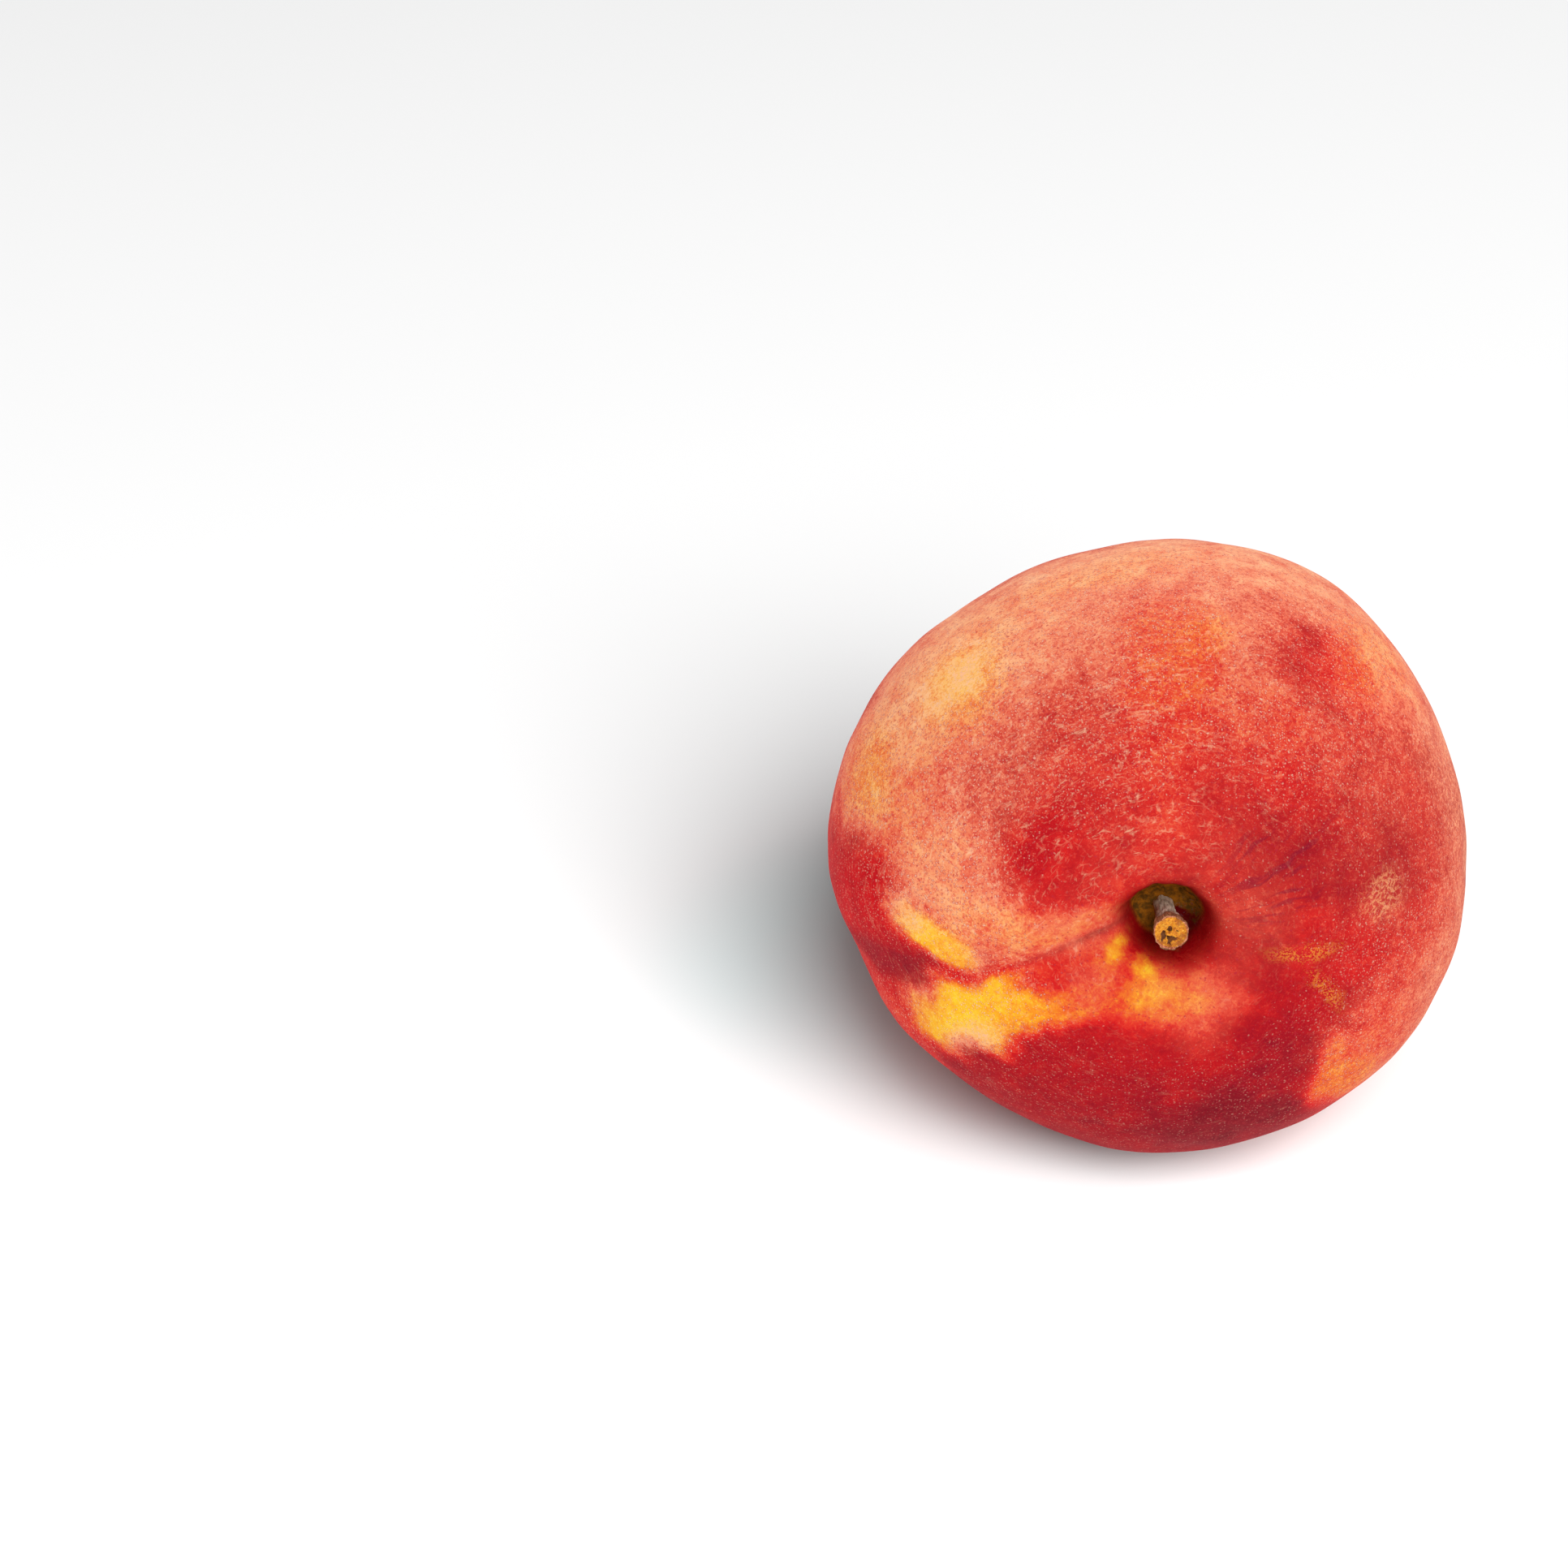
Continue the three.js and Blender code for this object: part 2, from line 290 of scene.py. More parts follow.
# Ripeness runs from 0, the yellow ground colour, through orange at 0.4 and red at 0.8 to
# maroon at 1.2. Each patch pulls it towards a level, in this order. Places are degrees
# from the stem end and degrees round the stem axis. Lengths are half sizes in mm, away
# from the stem and round it; turn rotates the patch.
RIPENESS_PATCHES = [
    # name, from, round, long, wide, turn, level, strength, softness
    ("upper half", 60, 95, 19, 36, 0, 0.72, 0.9, 0.5),
    ("above the cavity, left", 34, 128, 8, 10, 0, 0.88, 0.8, 0.6),
    ("top edge", 92, 84, 9, 28, 0, 0.55, 0.9, 0.6),
    ("top left edge, yellow", 84, 105, 6, 11, 0, 0.22, 0.9, 0.6),
    ("top edge, left, over the limb", 97, 112, 8, 16, 0, 0.18, 0.9, 0.6),
    ("top left, mottled", 66, 112, 4, 7, 0, 0.68, 0.7, 0.8),
    ("left shoulder", 74, 140, 12, 14, 0, 0.40, 0.97, 0.5),
    ("left shoulder, yellow heart", 64, 134, 5.6, 4.4, 0, 0.06, 0.95, 0.7),
    ("left edge, orange", 67, 160, 8, 6, 0, 0.42, 0.9, 0.5),
    ("left edge, yellow", 68, 160, 3, 4, 0, 0.22, 0.8, 0.8),
    ("left field", 46, 172, 8, 6.5, 0, 0.50, 0.97, 0.5),
    ("left field, inner", 27, 181, 10, 3.4, 6, 0.42, 0.95, 0.5),
    ("left edge, red", 68, 183, 10.5, 7, 0, 0.93, 0.97, 0.5),
    ("left of the cavity, vivid", 25, 145, 5, 6, 0, 0.93, 0.9, 0.6),
    ("orange column, top", 52, 90, 8, 5, 0, 0.52, 0.85, 0.7),
    ("top, yellow spot", 58, 82, 3, 2.4, 20, 0.42, 0.85, 0.7),
    ("orange column", 34, 93, 9, 2.2, 0, 0.70, 0.8, 0.8),
    ("right of the column", 48, 66, 8, 5, 0, 0.66, 0.8, 0.8),
    ("right of the column, vivid", 26, 68, 7, 4, 0, 0.90, 0.9, 0.6),
    ("upper right, dark red", 59, 58, 5.5, 5.5, 0, 0.92, 0.95, 0.5),
    ("upper right, orange", 70, 46, 8.5, 5.5, 0, 0.40, 0.9, 0.6),
    ("right cheek", 48, 16, 13, 14, 0, 0.88, 0.95, 0.6),
    ("right of the cavity, purple", 26, 23, 5.5, 6.5, 0, 1.12, 0.95, 0.7),
    ("right cheek, deep", 44, 14, 4, 5, 0, 1.06, 0.9, 0.6),
    ("right of the cavity", 22, 352, 7, 8, 0, 0.92, 0.9, 0.6),
    ("lower right edge", 61, 337, 10, 11, 0, 0.76, 0.95, 0.5),
    ("right of the cavity, flecks", 27, 352, 2, 4, 0, 0.84, 0.7, 0.8),
    ("under the cavity", 29, 258, 8, 18, 0, 1.0, 0.97, 0.5),
    ("right of the band, deep", 25, 324, 7, 7, 0, 1.03, 0.95, 0.6),
    ("underside", 58, 262, 15, 26, 0, 1.10, 0.95, 0.5),
    ("underside, left", 57, 232, 9, 9, 0, 1.06, 0.9, 0.6),
    ("underside, maroon", 46, 290, 7, 9, 0, 1.26, 0.9, 0.6),
    ("lower right, red", 52, 321, 10, 6, 0, 0.66, 0.95, 0.5),
    ("lower right, orange", 52, 317, 6, 2.8, -15, 0.39, 0.95, 0.5),
    ("lower right, red top", 40, 324, 3.5, 3, 0, 0.66, 0.9, 0.6),
    ("lower right, crimson", 36, 332, 4, 3, 0, 0.98, 0.85, 0.6),
    ("underside, right", 35, 311, 5, 4, 0, 1.12, 0.95, 0.5),
    ("lower right, orange strip", 46.5, 315, 4.6, 1.7, -45, 0.40, 0.9, 0.6),
    ("lower left edge", 70, 212, 8, 5, 0, 0.74, 0.9, 0.6),
    ("band under the cavity, around", 13.2, 267, 3.4, 8.5, 0, 0.58, 0.95, 0.6),
    ("band under the cavity", 14.6, 266, 1.8, 3.9, 0, 0.31, 0.95, 0.7),
    ("band, left end", 16, 214, 2.6, 2.2, 0, 0.60, 0.9, 0.6),
    ("spot beside the suture", 11.5, 204, 1.2, 1.1, 0, 0.16, 0.97, 0.7),
    ("spot under the cavity", 10.4, 243, 0.8, 1.7, 0, 0.18, 0.97, 0.7),
    ("second yellow patch", 45, 187.5, 5.2, 2.0, -32, 0.10, 0.98, 0.4),
    ("bright yellow patch", 46, 210, 7.6, 3.9, -6, 0.10, 1.0, 0.5),
    ("bright yellow patch, heart", 43, 209.5, 4.5, 2.4, -6, 0.0, 0.9, 0.7),
    ("bright patch, upper right", 33, 206, 4.8, 2.5, 8, 0.13, 0.95, 0.4),
    ("bright patch, tail", 27, 218, 6.0, 1.7, -14, 0.22, 0.97, 0.6),
    ("bright patch, tail end", 20, 223, 3.0, 1.2, -20, 0.58, 0.9, 0.6),
    ("between the tail and the suture", 23.5, 205, 3.9, 1.5, -12, 0.80, 0.95, 0.5),
    ("suture, maroon crease", 61, 196, 8, 2.4, -4, 1.14, 0.95, 0.6),
    ("back, yellow ground", 125, 318, 16, 11, 15, 0.3, 0.85, 0.6),
    ("back, deep red", 128, 120, 22, 34, 0, 1.0, 0.9, 0.6),
    ("back, dark shoulder", 114, 30, 12, 16, 0, 1.12, 0.8, 0.7),
    ("blossom end, red", 165, 60, 14, 14, 0, 1.0, 0.8, 0.8),
    ("back, orange streak", 115, 225, 20, 3, 8, 0.5, 0.6, 0.8),
]
GROUND_LEVEL = 0.86
# How milky the skin is, from 0 to 1, in the same terms. Along the top and right edges and over
# the upper half this milkiness is partly painted sheen.
PALE_AND_SHEEN_PATCHES = [
    ("above the cavity", 18, 95, 8, 15, 0, 0.08, 0.9, 0.6),
    ("right of the cavity", 16, 12, 4, 5, 0, 0.12, 0.9, 0.7),
    ("right cheek", 46, 16, 9, 9, 0, 0.11, 0.9, 0.7),
    ("upper half", 67, 92, 14, 36, 0, 0.40, 0.95, 0.7),
    # painted sheen along the top edge
    ("top edge", 92, 84, 9, 34, 0, 0.68, 1.0, 0.8),
    ("left shoulder", 70, 139, 10.5, 12.5, 0, 0.64, 1.0, 0.6),
    ("left edge, orange", 66, 161, 6, 5, 0, 0.34, 0.9, 0.6),
    ("left field", 41, 168, 7.5, 6.5, 0, 0.50, 0.95, 0.5),
    ("left middle", 43, 141, 7, 7, 0, 0.30, 0.85, 0.7),
    ("above the cavity, left", 34, 126, 4, 4.5, 0, 0.11, 0.8, 0.7),
    ("left of the cavity", 28, 145, 4.5, 6, 0, 0.02, 0.95, 0.6),
    ("orange column, top", 47, 90, 9, 5, 0, 0.06, 0.9, 0.6),
    ("left edge, red", 68, 186, 10, 6, 0, 0.0, 1.0, 0.4),
    # painted sheen along the right edge
    ("right edge", 80, 352, 10, 28, 0, 0.52, 0.95, 0.9),
    ("right edge, upper", 78, 38, 8, 8, 0, 0.44, 0.9, 0.7),
    ("upper right, dark red", 59, 58, 5, 5.5, 0, 0.05, 0.95, 0.5),
    ("right cheek, upper", 48, 36, 5, 6, 0, 0.16, 0.9, 0.7),
    ("russet", 42, 5, 2.6, 2.6, 0, 0.2, 0.9, 0.6),
    ("lower right edge", 62, 337, 9, 10, 0, 0.38, 0.9, 0.6),
    ("band above the suture", 24, 185, 8, 2.6, 8, 0.32, 0.9, 0.6),
    ("left end of the band", 18, 216, 2.4, 2.2, 0, 0.12, 0.9, 0.6),
    ("right end of the band", 15, 296, 4, 5, 0, 0.16, 0.9, 0.6),
    ("lower right", 48, 326, 7, 5, 0, 0.14, 0.9, 0.6),
    ("bright patch, left end", 54, 204, 3.5, 2.5, 0, 0.22, 0.9, 0.7),
    ("bright patch, lower edge", 46, 216, 3.6, 1.6, 0, 0.62, 0.9, 0.7),
    ("second patch, upper edge", 50, 182, 2.4, 1.6, -30, 0.60, 0.9, 0.7),
    ("second patch, lower end", 37, 193, 1.6, 1.4, 0, 0.40, 0.9, 0.7),
]
GROUND_PALE = 0.02

# The edges of the patches are rough at two sizes, by these shares of a patch and in mm.
WIDE_ROUGHNESS = 0.11
FINE_ROUGHNESS = 0.13
wide_u = waves(own, 7, 61, 12)
wide_v = waves(own, 7, 62, 12)
fine_u = waves(own, 1.8, 63, 16)
fine_v = waves(own, 1.8, 64, 16)
directions = own / (np.linalg.norm(own, axis=1, keepdims=True) + 1e-9)


def patch_distance(spot_from, spot_around, long, wide, turned):
    """Distance from a patch's middle, 1 at its rough edge. It is given as in the lists."""
    a = math.radians(spot_from)
    b = math.radians(spot_around)
    centre = np.array([math.sin(a) * math.cos(b), math.sin(a) * math.sin(b), math.cos(a)])
    away = np.array([math.cos(a) * math.cos(b), math.cos(a) * math.sin(b), -math.sin(a)])
    beside = np.array([-math.sin(b), math.cos(b), 0.0])
    arc = np.arccos(np.clip(directions @ centre, -1, 1)) * BODY_RADIUS
    u = directions @ away
    v = directions @ beside
    flat = np.hypot(u, v) + 1e-9
    rough = WIDE_ROUGHNESS * min(long, wide, 8)
    u = arc * u / flat + rough * wide_u + FINE_ROUGHNESS * fine_u
    v = arc * v / flat + rough * wide_v + FINE_ROUGHNESS * fine_v
    c = math.cos(math.radians(turned))
    s = math.sin(math.radians(turned))
    return np.hypot((c * u + s * v) / long, (c * v - s * u) / wide)


def mask(spot_from, spot_around, long, wide, turned, softness=0.6):
    """1 inside a patch, 0 outside it, smooth across its edge."""
    away = patch_distance(spot_from, spot_around, long, wide, turned)
    return smooth(away, 1 + softness, 1 - softness)


def painted(ground, patches):
    """A field over the skin that each patch pulls towards its own level."""
    field = ground
    for _name, *spot, level, strength, softness in patches:
        field = field + (level - field) * strength * mask(*spot, softness)
    return field


ripeness = painted(GROUND_LEVEL + 0.05 * wide_u, RIPENESS_PATCHES)
pale_and_sheen = painted(np.full(len(own), GROUND_PALE), PALE_AND_SHEEN_PATCHES)
# milk over maroon would look brown
pale_and_sheen *= 0.35 + 0.65 * smooth(ripeness, 1.15, 0.9)

radius = np.hypot(own[:, 0], own[:, 1])
stem_side = (own[:, 2] > 0).astype(float)
across, angle = suture_offset(radius, around, stem_side)
# the thin dark line along the suture, clearest beside the cavity
LINE_HALF_WIDTH = 0.55
LINE_LEVEL = 1.02
line_share = np.exp(-((across / LINE_HALF_WIDTH) ** 2)) * (np.abs(angle) < 1.5)
line_share *= smooth(radius, 2, 4)
line_share *= 0.62 * smooth(radius, 34, 12) + 0.32 * smooth(radius, 14, 7)
ripeness += (LINE_LEVEL - ripeness) * line_share


def facing(direction, spread):
    """1 in this direction round the stem axis and less beside it, both in degrees."""
    turned = np.degrees(wrapped(around - math.radians(direction)))
    return np.exp(-((turned / spread) ** 2))


def half_facing(direction):
    """1 in this direction round the stem axis in degrees, 0 in the opposite one."""
    return np.cos(around - math.radians(direction)) * 0.5 + 0.5


# The olive wall of the cavity starts where the throat drops, nearer the stem on the lower left.
# Its olive and brown are darkened with painted shade.
CAVITY_EDGE = 3.7
CAVITY_EDGE_NEARER = 0.9
floor_height = STEM_HALF_HEIGHT - DISH_DEPTH - THROAT_DEPTH
cavity_edge = CAVITY_EDGE - CAVITY_EDGE_NEARER * facing(232, 48)
cavity_edge += 0.12 * np.sin(5 * around + 1.0)
past_edge = radius - cavity_edge
in_cavity = smooth(past_edge, 0.3, -0.3) * stem_side
# the lip is deep red skin with painted shade round the cavity's rim, most of all on the left
# and the lower right, and least above
lip_reach = 0.9 + 0.8 * facing(315, 50) + 0.9 * facing(156, 30) - 0.6 * facing(80, 45)
lip_and_shade = smooth(past_edge, 0.6 + 1.3 * lip_reach, 0.1) * stem_side
lip_and_shade *= 0.7 + 0.3 * np.clip(lip_reach, 0, 1)
# painted shade: the lower right side of the throat is dark red, the other olive
painted_shade_side = half_facing(-40)

# how fibrous the skin is: short pale streaks and veins above and left of the cavity
web = smooth(radius, 4.5, 8) * smooth(radius, 35, 25) * stem_side
web *= 0.15 + 0.85 * half_facing(125) ** 2

# how dense the pale dots are
dots = np.where(own[:, 2] > 0, 0.02 + 0.75 * smooth(radius, 9, 22), 0.77)
dots = np.clip(dots + 0.15 * waves(own, 14, 31), 0, 1)
# the skin is smoother near the cavity, but less so above it
calmness = smooth(radius, 18, 8) * stem_side * (1 - 0.6 * half_facing(85) ** 3)
# How much of the skin the pale flakes cover: much in the orange parts, little in the deep
# red and in the clear yellow. Part of the milkiness and painted sheen lies in the flakes alone.
orange_parts = smooth(ripeness, 1.0, 0.6) * smooth(ripeness, 0.25, 0.5)
flaked = np.clip(0.08 + 0.75 * pale_and_sheen + 0.28 * orange_parts, 0.04, 0.8)
milk_and_sheen_flat = (0.5 + 0.3 * calmness) * pale_and_sheen
milk_and_sheen_flakes = (0.5 - 0.3 * calmness) * pale_and_sheen / flaked


def store(piece, name, values):
    """Keep a number or a place for each corner of the piece, for its material to read."""
    kind = "FLOAT_VECTOR" if values.ndim == 2 else "FLOAT"
    layer = piece.data.attributes.new(name, kind, "POINT")
    key = "vector" if values.ndim == 2 else "value"
    layer.data.foreach_set(key, np.ascontiguousarray(values, dtype=np.float32).ravel())


# A place for the streaks: a circle of this radius round the stem axis, and the way in mm
# along the skin from the stem end. Patterns in it run the same way all round the fruit.
STREAK_SPREAD = 9.0
from_end = np.interp(from_stem, walk, np.concatenate([[0], np.cumsum(steps)]))
streak_place = np.stack(
    [STREAK_SPREAD * np.cos(around), STREAK_SPREAD * np.sin(around), from_end], axis=1
)
skin_fields = {
    "skin_mm": own,
    "streak_mm": streak_place,
    "ripeness": ripeness,
    "in_cavity": in_cavity,
    "lip_and_shade": lip_and_shade,
    "painted_shade_side": painted_shade_side,
    "web": web,
    "dots": dots,
    "calm": calmness,
    "milk_and_sheen_flat": milk_and_sheen_flat,
    "milk_and_sheen_flakes": milk_and_sheen_flakes,
    "flaked": flaked,
    "creased": mask(23, 28, 5.5, 5, 0),
    "russet": mask(41, 6, 2.4, 2.2, 0),
    "flecks": np.maximum(mask(26, 351, 3.4, 0.9, 10), mask(32, 338, 3.0, 0.8, -30)),
}
for name, values in skin_fields.items():
    store(fruit, name, values)

# ---------------------------------------------------------------- colours and nodes

RAMP_SPAN = 1.5
SKIN_RAMP = [  # ripeness and the skin's colour there
    (0.00, (255, 208, 50)),
    (0.12, (253, 186, 40)),
    (0.26, (248, 150, 36)),
    (0.40, (240, 118, 38)),
    (0.55, (234, 82, 40)),
    (0.70, (228, 52, 38)),
    (0.85, (214, 22, 28)),
    (1.00, (186, 14, 28)),
    (1.18, (150, 16, 34)),
    (1.40, (108, 10, 28)),
]
# the skin's own pale milk, which also serves as painted sheen along the edges
MILK_AND_SHEEN = (254, 188, 143)
STREAK = (255, 204, 164)
CREASE = (120, 22, 52)
RUSSET = (240, 164, 112)
FLECK = (246, 158, 60)
DOT = (255, 218, 188)
DOT_RING = (190, 44, 60)
FINE_DOT = (255, 200, 168)
DARK_POINT = (188, 46, 60)
# the lip: deep red skin and painted shade round the cavity's rim
LIP_AND_SHADE = (156, 5, 14)
# the cavity's wall: olive and brown darkened with painted shade; its red is painted shade on
# the lower right side
WALL_BROWN = (100, 68, 24)
WALL_OLIVE = (186, 114, 26)
WALL_DARK = (84, 50, 18)
WALL_SHADE_RED = (104, 10, 14)
WALL_FIBRE = (128, 126, 132)
ALBEDO_SHARE = 0.85  # how bright the skin is beside the colours above
SKIN_RELIEF = 0.04  # depth of the bump in mm


class Shader:
    """Adds nodes to one new material."""

    def __init__(self, name, shade=1.0):
        self.shade = shade
        self.material = bpy.data.materials.new(name)
        self.material.use_nodes = True
        self.tree = self.material.node_tree
        self.surface = self.tree.nodes["Principled BSDF"]

    def feed(self, socket, value):
        """Link the socket to another one, or set its own value."""
        if isinstance(value, bpy.types.NodeSocket):
            self.tree.links.new(value, socket)
        else:
            socket.default_value = value

    def node(self, kind, inputs):
        """A new node. Its inputs are fed by name or number."""
        node = self.tree.nodes.new("ShaderNode" + kind)
        for key, value in inputs.items():
            self.feed(node.inputs[key], value)
        return node

    def attribute(self, name, vector=False):
        node = self.node("Attribute", {})
        node.attribute_name = name
        return node.outputs["Vector" if vector else "Fac"]

    def math(self, operation, first, second=0.0, clamp=False):
        node = self.node("Math", {0: first, 1: second})
        node.operation = operation
        node.use_clamp = clamp
        return node.outputs[0]

    def add(self, *values):
        total = values[0]
        for value in values[1:]:
            total = self.math("ADD", total, value)
        return total

    def times(self, *values):
        total = values[0]
        for value in values[1:]:
            total = self.math("MULTIPLY", total, value)
        return total

    def smooth(self, value, low, high, to_low=0.0, to_high=1.0):
        """From to_low at low to to_high at high, smooth between and even beyond."""
        ends = {"From Min": low, "From Max": high, "To Min": to_low, "To Max": to_high}
        node = self.node("MapRange", {"Value": value, **ends})
        node.interpolation_type = "SMOOTHSTEP"
        return node.outputs["Result"]

    def noise(self, vector, scale, detail=2.0, roughness=0.5, distortion=0.0):
        """Noise centred on 0, between about -0.5 and 0.5. Scale is waves to the millimetre."""
        form = {"Scale": scale, "Detail": detail, "Roughness": roughness}
        node = self.node("TexNoise", {"Vector": vector, **form, "Distortion": distortion})
        return self.math("SUBTRACT", node.outputs["Fac"], 0.5)

    def cells(self, vector, scale):
        """Distance to the nearest cell's point, and two random numbers of that cell."""
        node = self.node("TexVoronoi", {"Vector": vector, "Scale": scale, "Randomness": 1.0})
        node.feature = "F1"
        split = self.node("SeparateColor", {"Color": node.outputs["Color"]})
        return node.outputs["Distance"], split.outputs["Red"], split.outputs["Green"]

    def cell_edge(self, vector, scale):
        """Distance to the nearest border between cells."""
        node = self.node("TexVoronoi", {"Vector": vector, "Scale": scale})
        node.feature = "DISTANCE_TO_EDGE"
        return node.outputs["Distance"]

    def vector_math(self, operation, first, second, output="Vector"):
        node = self.node("VectorMath", {0: first, 1: second})
        node.operation = operation
        return node.outputs[output]

    def stretch(self, vector, x, y, z):
        """The same place, with each side times its own number."""
        return self.vector_math("MULTIPLY", vector, (x, y, z))

    def distance(self, vector, point):
        return self.vector_math("DISTANCE", vector, point, "Value")

    def along(self, vector, direction):
        """How far the place lies in this direction, times the direction's length."""
        return self.vector_math("DOT_PRODUCT", vector, direction, "Value")

    def wobble(self, vector, scale, amount):
        """The same place, moved unevenly by up to about half this many mm."""
        node = self.node("TexNoise", {"Vector": vector, "Scale": scale, "Detail": 1.0})
        centred = self.vector_math("SUBTRACT", node.outputs["Color"], (0.5, 0.5, 0.5))
        return self.vector_math("ADD", vector, self.stretch(centred, amount, amount, amount))

    def ramp(self, value, stops):
        """The colour between these stops, each a position from 0 to 1 and a colour."""
        node = self.node("ValToRGB", {"Fac": value})
        points = node.color_ramp.elements
        while len(points) < len(stops):
            points.new(0.5)
        for point, (position, color) in zip(points, stops):
            point.position = position
            point.color = (*linear(color, self.shade), 1)
        return node.outputs["Color"]

    def mix(self, share, first, second):
        """The first colour where the share is 0 and the second where it is 1."""
        node = self.node("Mix", {"Factor": share})
        node.data_type = "RGBA"
        for socket, value in ((node.inputs[6], first), (node.inputs[7], second)):
            if isinstance(value, tuple):
                value = (*linear(value, self.shade), 1)
            self.feed(socket, value)
        return node.outputs[2]

    def finish(self, color, roughness, relief, depth):
        """Give the surface its colour, roughness, and relief of this depth in mm."""
        form = {"Strength": 1.0, "Distance": depth * METRES}
        node = self.node("Bump", {**form, "Height": relief})
        self.feed(self.surface.inputs["Base Color"], color)
        self.feed(self.surface.inputs["Roughness"], roughness)
        self.feed(self.surface.inputs["Normal"], node.outputs["Normal"])


def linear(color, shade=1.0):
    """A display colour of three numbers from 0 to 255 as linear light, times the shade."""
    shares = [channel / 255 for channel in color]
    bright = [s / 12.92 if s <= 0.04045 else ((s + 0.055) / 1.055) ** 2.4 for s in shares]
    return tuple(shade * channel for channel in bright)


# ---------------------------------------------------------------- material of the skin

skin = Shader("nectarine_skin", ALBEDO_SHARE)
where = skin.attribute("skin_mm", vector=True)
streaks_at = skin.attribute("streak_mm", vector=True)
ripe = skin.attribute("ripeness")
# blotches of 3 mm, grains of 0.5 mm, and dust
blotches = skin.noise(where, 0.35, 6, 0.62, 0.5)
grains = skin.noise(where, 2.2, 4, 0.68, 1.1)
dust = skin.noise(where, 5.0, 2, 0.6)


def mottled():
    """The colour of the ripeness, uneven at several sizes, with milk and painted sheen over it,
    some of it in flakes.
    """
    flaked_share = skin.attribute("flaked")
    flake = skin.smooth(skin.add(grains, skin.times(flaked_share, 0.36), -0.18), -0.12, 0.14)
    calm = skin.attribute("calm")
    soft_spots = skin.noise(where, 0.9, 5, 0.68, 0.3)
    fibres = skin.noise(skin.stretch(streaks_at, 2.4, 2.4, 0.3), 1.0, 3, 0.6)
    fine_mottle = skin.add(
        skin.times(skin.math("SUBTRACT", flaked_share, flake), 0.18),
        skin.times(grains, -0.32),
    )
    mottle = skin.add(
        skin.times(blotches, 0.70),
        skin.times(fine_mottle, skin.add(1.0, skin.times(calm, -0.4))),
        skin.times(soft_spots, calm, 0.62),
        skin.times(dust, 0.16),
        skin.times(fibres, 0.14),
    )
    # the deeper the red, the more even it is
    level = skin.add(ripe, skin.times(mottle, skin.smooth(ripe, 1.05, 0.6, 0.5, 1.0)))
    color = skin.ramp(
        skin.math("DIVIDE", level, RAMP_SPAN),
        [(stop / RAMP_SPAN, skin_color) for stop, skin_color in SKIN_RAMP],
    )
    milk_and_sheen_share = skin.add(
        skin.attribute("milk_and_sheen_flat"),
        skin.times(skin.attribute("milk_and_sheen_flakes"), flake),
    )
    milk_and_sheen_share = skin.times(milk_and_sheen_share, skin.add(1.0, skin.times(blotches, -2.6)))
    return skin.mix(skin.math("MULTIPLY", milk_and_sheen_share, 0.92, clamp=True), color, MILK_AND_SHEEN)


def streaked(color):
    """Pale cracks and short streaks, roughly in rings round the cavity, and short veins."""
    crack_space = skin.wobble(skin.stretch(streaks_at, 1.0, 1.0, 1.5), 0.9, 1.6)
    crack_edge = skin.cell_edge(crack_space, 0.55)
    crack_gate = skin.smooth(skin.noise(where, 0.40, 3, 0.7), -0.04, 0.10)
    cracks = skin.times(skin.smooth(crack_edge, 0.05, 0.01), crack_gate, 0.25)
    streak_space = skin.stretch(skin.wobble(streaks_at, 0.55, 2.6), 0.8, 0.8, 2.4)
    streak = skin.smooth(skin.noise(streak_space, 1.0, 3, 0.7), 0.05, 0.18, 0.0, 0.95)
    streak_gate = skin.smooth(skin.noise(where, 0.5, 3, 0.6), -0.08, 0.12)
    short_streaks = skin.times(streak, streak_gate, 0.85)
    vein = skin.math("ABSOLUTE", skin.noise(skin.wobble(where, 0.5, 1.0), 0.75, 1, 0.5))
    vein_gate = skin.smooth(skin.noise(where, 1.0, 3, 0.7), -0.01, 0.12)
    in_lighter_skin = skin.smooth(ripe, 1.0, 0.7, 0.15, 0.7)
    veins = skin.times(skin.smooth(vein, 0.055, 0.005), vein_gate, in_lighter_skin)
    lines = skin.add(cracks, short_streaks, veins)
    lines = skin.math("MULTIPLY", lines, skin.attribute("web"), clamp=True)
    return skin.mix(skin.times(lines, 0.56), color, STREAK), lines


def creased(color):
    """Faint purple creases that leave the cavity on its upper right."""
    crease_space = skin.stretch(skin.wobble(streaks_at, 0.3, 1.0), 1.5, 1.5, 0.10)
    crease = skin.smooth(skin.noise(crease_space, 1.0, 2, 0.5), 0.04, 0.16)
    crease = skin.times(crease, skin.attribute("creased"))
    return skin.mix(skin.times(crease, 0.5), color, CREASE)


def flecked(color):
    """The russet net and the yellow flecks to the right of the cavity."""
    net = skin.smooth(skin.cell_edge(skin.wobble(where, 1.6, 0.9), 1.5), 0.20, 0.05)
    net = skin.times(net, skin.smooth(grains, -0.12, 0.06))
    color = skin.mix(skin.times(net, skin.attribute("russet"), 0.7), color, RUSSET)
    fleck = skin.smooth(skin.add(dust, skin.times(blotches, 0.6)), 0.0, 0.10)
    return skin.mix(skin.times(fleck, skin.attribute("flecks"), 0.55), color, FLECK)


